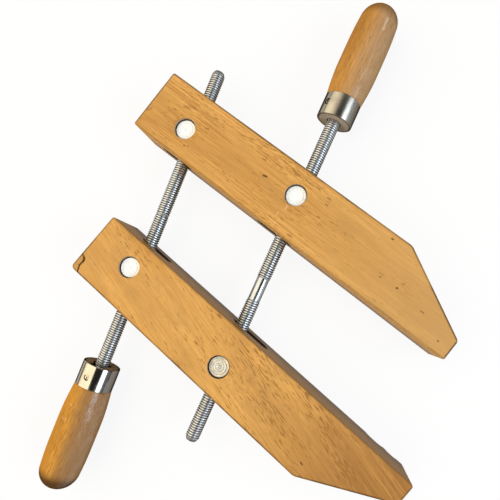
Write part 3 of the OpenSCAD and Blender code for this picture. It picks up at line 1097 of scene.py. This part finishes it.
# handles, ferrules and pins
handleShape = {
    "ferruleRadius": 12.7,
    "ferruleLength": 16.2,
    "ferruleWall": 1.0,
    "ferruleBreaks": (0.2, 0.25),
    "rim": 0.45,
    "belly": 14.4,
    "length": 73.15,
    "swell": 24.0,
    "dome": 13.0,
    "brow": 13.5,
    "mouthRadii": {"rear": 5.9, "front": 5.0},
    "chips": {"rear": 5.6, "front": 0.6},
    "chipRadii": {"rear": 6.6, "front": 5.0},
    "chipDepth": 4.0,
    "chipTaper": 0.8,
    "chipSides": 24,
    "mouthDepth": 5.0,
    "mouthBreak": 0.35,
    "faceAt": 0.15,
    "tenonGap": 0.05,
    "tenonBreak": 0.3,
    "shoulderStep": 0.35,
    "shoulderBreak": (0.05, 0.3),
    "boreRadius": 4.25,
    "boreDepth": 48.0,
    "steps": 14,
    "sides": 96,
    "pinRadius": 1.6,
    "pinWalls": {"rear": 1.15, "front": 0.9},
    "pinAt": clamp["pinAt"],
    "pinSlit": 0.6,
    "pinBreak": 0.15,
    "pinSunk": 0.05,
    "pinSides": 40,
    "pinPlay": {"ferrule": 0.12, "tenon": 0.05},
    "drillLengths": {"ferrule": 60, "pastTenon": 0.2},
}


def pinDrill(radius, length):
    return roundCutter(radius, length, handleShape["pinSides"], handleShape["pinAt"])


def makeFerrule(name, place):
    h = handleShape
    r = h["ferruleRadius"]
    bore = r - h["ferruleWall"]
    rim = h["rim"]
    rounded = [
        (r - rim * (1 - math.cos(math.radians(a))) if a else r, rim - rim * math.sin(math.radians(a)))
        for a in (0, 22.5, 45, 67.5, 90)
    ]
    inner, outer = h["ferruleBreaks"]
    far = h["ferruleLength"]
    points = [(bore, inner), (bore + inner, 0)] + list(reversed(rounded))
    points += [(r, far - outer), (r - outer, far), (bore, far), (bore, inner)]
    drill = pinDrill(h["pinRadius"] + h["pinPlay"]["ferrule"], h["drillLengths"]["ferrule"])
    bm = carve(spinProfile(points, h["sides"]), [drill])
    return finishPiece(bm, name, place, sharpAngle=30)


# the wood is broken out on the upper side of the mouth
def chipCutter(place, offset, radius):
    h = handleShape
    chip = bmesh.new()
    bmesh.ops.create_cone(
        chip, cap_ends=True, segments=h["chipSides"], radius1=radius, radius2=radius * h["chipTaper"],
        depth=2 * h["chipDepth"],
    )
    bmesh.ops.translate(chip, vec=upwardIn(place) * offset, verts=chip.verts)
    return objectFrom(chip, "chip")


def makeHandle(name, place, side):
    h = handleShape
    mouth = h["mouthRadii"][side]
    n = h["steps"]
    tenon = h["ferruleRadius"] - h["ferruleWall"] - h["tenonGap"]
    shoulder = h["ferruleRadius"]
    inset, rise = h["shoulderBreak"]
    face = h["faceAt"]
    start = h["ferruleLength"]
    bellyAt = start + h["swell"]
    browAt = start + h["length"] - h["dome"]
    points = [(0, h["boreDepth"]), (h["boreRadius"], h["boreDepth"]), (h["boreRadius"], h["mouthDepth"])]
    points += [(mouth, h["mouthDepth"]), (mouth, face + h["mouthBreak"]), (mouth + h["mouthBreak"], face)]
    points += [(tenon - h["tenonBreak"], face), (tenon, face + h["tenonBreak"])]
    points += [(tenon, start), (shoulder - h["shoulderStep"], start)]
    for i in range(n + 1):
        t = i / n
        points.append((
            shoulder + (h["belly"] - shoulder) * math.sin(t * math.pi / 2) + (0 if i else -inset),
            start + rise + (h["swell"] - rise) * t,
        ))
    for i in range(1, n + 1):
        t = i / n
        points.append((h["belly"] - (h["belly"] - h["brow"]) * t ** 4, bellyAt + (browAt - bellyAt) * t))
    for i in range(1, n):
        t = math.pi / 2 * i / n
        points.append((h["brow"] * math.cos(t), browAt + h["dome"] * math.sin(t)))
    points.append((0, browAt + h["dome"]))
    drill = pinDrill(h["pinRadius"] + h["pinPlay"]["tenon"], 2 * tenon + h["drillLengths"]["pastTenon"])
    chip = chipCutter(place, h["chips"][side], h["chipRadii"][side])
    bm = carve(spinProfile(points, h["sides"]), [drill, chip])
    return finishPiece(bm, name, place, sharpAngle=40)


def makePin(name, place, wall):
    h = handleShape
    reach = math.sqrt(h["ferruleRadius"] ** 2 - h["pinRadius"] ** 2) - h["pinSunk"]
    r = h["pinRadius"]
    bore = r - wall
    cut = h["pinBreak"]
    points = [(bore, -reach), (r - cut, -reach), (r, -reach + cut), (r, reach - cut)]
    points += [(r - cut, reach), (bore, reach), (bore, -reach)]
    bm = spinProfile(points, h["pinSides"])
    slit = bmesh.new()
    bmesh.ops.create_cube(slit, size=1)
    bmesh.ops.scale(slit, vec=(h["pinSlit"], 2 * r, 4 * reach), verts=slit.verts)
    bmesh.ops.translate(slit, vec=(0, r, 0), verts=slit.verts)
    bm = carve(bm, [objectFrom(slit, "slit")])
    pinPlace = place @ shift(0, 0, h["pinAt"]) @ turnAbout("X", 90)
    return finishPiece(bm, name, pinPlace, sharpAngle=30)


rearGrip = handlePlace(rearLinePlace, clamp["rearReach"], clamp["rearPinTurn"])
frontGrip = handlePlace(frontLinePlace, clamp["frontReach"], clamp["frontPinTurn"])
rearFigure = {
    "pale": (0.72, 0.335, 0.052, 1),
    "deep": (0.58, 0.262, 0.040, 1),
    "grainShift": (11, 7, 3),
    "mouth": handleShape["mouthRadii"]["rear"],
    "mouthTone": (0.24, 0.165, 0.095, 1),
    "brownSide": (-0.86, 0.50, -0.035),
    "endGrimeAndShade": 0.95,
    "brownShadeSpan": (-6.0, 1.0),
    "brownShadeTone": (0.35, 0.192, 0.088, 1),
    "brownShadeStrength": 0.82,
    "lacquerSpan": (-2.5, 1.0),
    "lacquer": 1.0,
    "coatRough": 0.13,
    "marks": (
        ((4.33, -13.24, 28.7), (1.74, -13.84, 29.2), 0.45, "scratch", 0.8),
        ((8.9, -11.25, 36.6), (1.53, -14.3, 38.4), 0.45, "scratch", 0.7),
        ((5.48, -13.31, 39.0), (1.53, -14.3, 39.9), 0.4, "scratch", 0.6),
        ((-9.68, -9.14, 22.1), (-8.48, -10.89, 27.2), 0.5, "crack", 0.85),
    ),
}
frontFigure = {
    "pale": (0.65, 0.32, 0.078, 1),
    "deep": (0.51, 0.245, 0.058, 1),
    "grainShift": (340, 40, 90),
    "mouth": handleShape["mouthRadii"]["front"],
    "mouthTone": (0.52, 0.45, 0.36, 1),
    "brownSide": (1.0, 0.0, 0),
    "endGrimeAndShade": 0.5,
    "brownShadeSpan": (6.0, 16.0),
    "brownShadeTone": (0.50, 0.32, 0.185, 1),
    "brownShadeStrength": 0.65,
    "lacquerSpan": (4.0, 12.0),
    "lacquer": 0.6,
    "coatRough": 0.26,
    "marks": (
        ((10.08, -10.22, 56.7), (10.3, -10.0, 57.0), 0.6, "crack", 0.7),
        ((11.13, -9.03, 58.5), (11.3, -8.8, 58.7), 0.5, "crack", 0.5),
        # a painted highlight streak
        ((12.68, -5.11, 74.4), (13.26, -5.0, 66.5), 1.3, "highlightStreak", 0.5),
    ),
}
ferruleNickel = plated("ferruleNickel", nickelLook, rearGrip)
ferruleSatin = plated("ferruleSatin", satinLook, frontGrip)
rearWood = handleWood("rearHandleWood", rearGrip, rearFigure)
frontWood = handleWood("frontHandleWood", frontGrip, frontFigure)
grips = (
    ("rear", rearGrip, rearWood, ferruleNickel, pinBright),
    ("front", frontGrip, frontWood, ferruleSatin, pinSteel),
)
for side, grip, wood, tube, pinFinish in grips:
    screw = side + "_screw"
    handle = makeHandle(side + "_handle_turned", grip, side)
    dress(handle, screw, side + "_handle", wood)
    dress(makeFerrule(side + "_ferrule_plated", grip), screw, side + "_ferrule", tube)
    pin = makePin(side + "_pin_rolled", grip, handleShape["pinWalls"][side])
    dress(pin, screw, side + "_handle_pin", pinFinish)
print("handles ready")

# floor: white to the camera and in reflections, duller for the light it throws back
floorLook = {
    "half": 12.0,
    "centre": (0, 0.08, -0.0003),
    "white": 0.88,
    "paint": (0.93, 0.93, 0.93, 1),
    "bounce": (0.3, 0.29, 0.27, 1),
}
floorMesh = bmesh.new()
bmesh.ops.create_grid(floorMesh, x_segments=1, y_segments=1, size=floorLook["half"])
bmesh.ops.translate(floorMesh, vec=floorLook["centre"], verts=floorMesh.verts)
floorData = bpy.data.meshes.new("floor")
floorMesh.to_mesh(floorData)
floorMesh.free()
floor = bpy.data.objects.new("floor", floorData)
scene.collection.objects.link(floor)
floorPaint = bpy.data.materials.new("floorPaint")
floorPaint.use_nodes = True
tree = floorPaint.node_tree
tree.nodes.clear()
rays = put(tree, "ShaderNodeLightPath").outputs
mirrored = larger(tree, rays["Is Glossy Ray"], rays["Is Transmission Ray"])
seen = larger(tree, rays["Is Camera Ray"], mirrored)
paint = blendColour(tree, seen, floorLook["bounce"], floorLook["paint"])
matt = put(tree, "ShaderNodeBsdfDiffuse", {"Color": paint})
glow = put(tree, "ShaderNodeEmission", {"Color": (1, 1, 1, 1), "Strength": 1.0})
mixed = put(
    tree, "ShaderNodeMixShader",
    {0: times(tree, seen, floorLook["white"]), 1: matt.outputs[0], 2: glow.outputs[0]},
)
put(tree, "ShaderNodeOutputMaterial", {"Surface": mixed.outputs[0]})
floorData.materials.append(floorPaint)

# light: a wide warm panel over the heels, a cooler window low over the tips
lamps = {
    "warmPanel": {
        "lean": -42.0,
        "slide": -0.22,
        "away": 0.9,
        "size": (1.35, 2.0),
        "bright": 1.42,
        "colour": (1.0, 0.88, 0.64),
    },
    "coolWindow": {
        "lean": 55.5,
        "slide": 0.0,
        "away": 0.9,
        "size": (0.42, 0.9),
        "bright": 4.1,
        "colour": (0.76, 0.87, 1.0),
    },
}
aim = Vector((-0.01, 0.07, 0.02))
acrossSpindles = Vector((0.942, 0.335, 0.0))
alongSpindles = Vector((-0.335, 0.942, 0.0))


def leaning(degrees):
    a = math.radians(degrees)
    return acrossSpindles * math.sin(a) + Vector((0, 0, math.cos(a)))


for name, lamp in lamps.items():
    data = bpy.data.lights.new(name, "AREA")
    data.shape = "RECTANGLE"
    data.size, data.size_y = lamp["size"]
    data.energy = lamp["bright"] * math.pi * data.size * data.size_y
    data.color = lamp["colour"]
    made = bpy.data.objects.new(name, data)
    made.visible_camera = False
    scene.collection.objects.link(made)
    toLamp = leaning(lamp["lean"])
    stand = aim + toLamp * lamp["away"] + alongSpindles * lamp["slide"]
    facing = Matrix((alongSpindles.cross(toLamp), alongSpindles, toLamp)).transposed()
    made.matrix_world = Matrix.Translation(stand) @ facing.to_4x4()

# room: dim walls with a bluish window side, and a dark ceiling above the camera
roomLook = {
    "wallLow": (0.16, 0.155, 0.145, 1),
    "wallHigh": (0.5, 0.495, 0.48, 1),
    "wallSpan": (0.05, 0.6),
    "window": (0.5, 0.62, 0.78, 1),
    "windowLean": 64,
    "windowSpan": (0.8, 0.98),
    "ceiling": (0.02, 0.02, 0.02, 1),
    "ceilingLean": 20,
    "ceilingSpan": (0.87, 0.945),
}
world = bpy.data.worlds.new("room")
scene.world = world
world.use_nodes = True
tree = world.node_tree
tree.nodes.clear()
direction = put(tree, "ShaderNodeTexCoord").outputs["Generated"]
_, _, height = split(tree, direction)
wallShare = remap(tree, height, *roomLook["wallSpan"])
walls = blendColour(tree, wallShare, roomLook["wallLow"], roomLook["wallHigh"])
windowShare = remap(tree, dot(tree, direction, leaning(roomLook["windowLean"])), *roomLook["windowSpan"])
walls = blendColour(tree, windowShare, walls, roomLook["window"])
ceilingShare = remap(tree, dot(tree, direction, leaning(roomLook["ceilingLean"])), *roomLook["ceilingSpan"])
room = blendColour(tree, ceilingShare, walls, roomLook["ceiling"])
sky = put(tree, "ShaderNodeBackground", {"Color": room, "Strength": 1.0})
put(tree, "ShaderNodeOutputWorld", {"Surface": sky.outputs[0]})

# camera, as the photograph was taken: almost straight down
view = {
    "at": (0.075249, 0.064991, 0.319122),
    "turn": (0.101019, 0.124140, 0.714086),
    "lens": 32.173,
    "sensor": 36,
    "nearClip": 0.01,
    "shift": (-0.04184, 0.04136),
}
lensData = bpy.data.cameras.new("camera")
lensData.sensor_width = view["sensor"]
lensData.lens = view["lens"]
lensData.shift_x, lensData.shift_y = view["shift"]
lensData.clip_start = view["nearClip"]
camera = bpy.data.objects.new("camera", lensData)
camera.location = view["at"]
camera.rotation_euler = view["turn"]
scene.collection.objects.link(camera)
scene.camera = camera
print("stage ready")
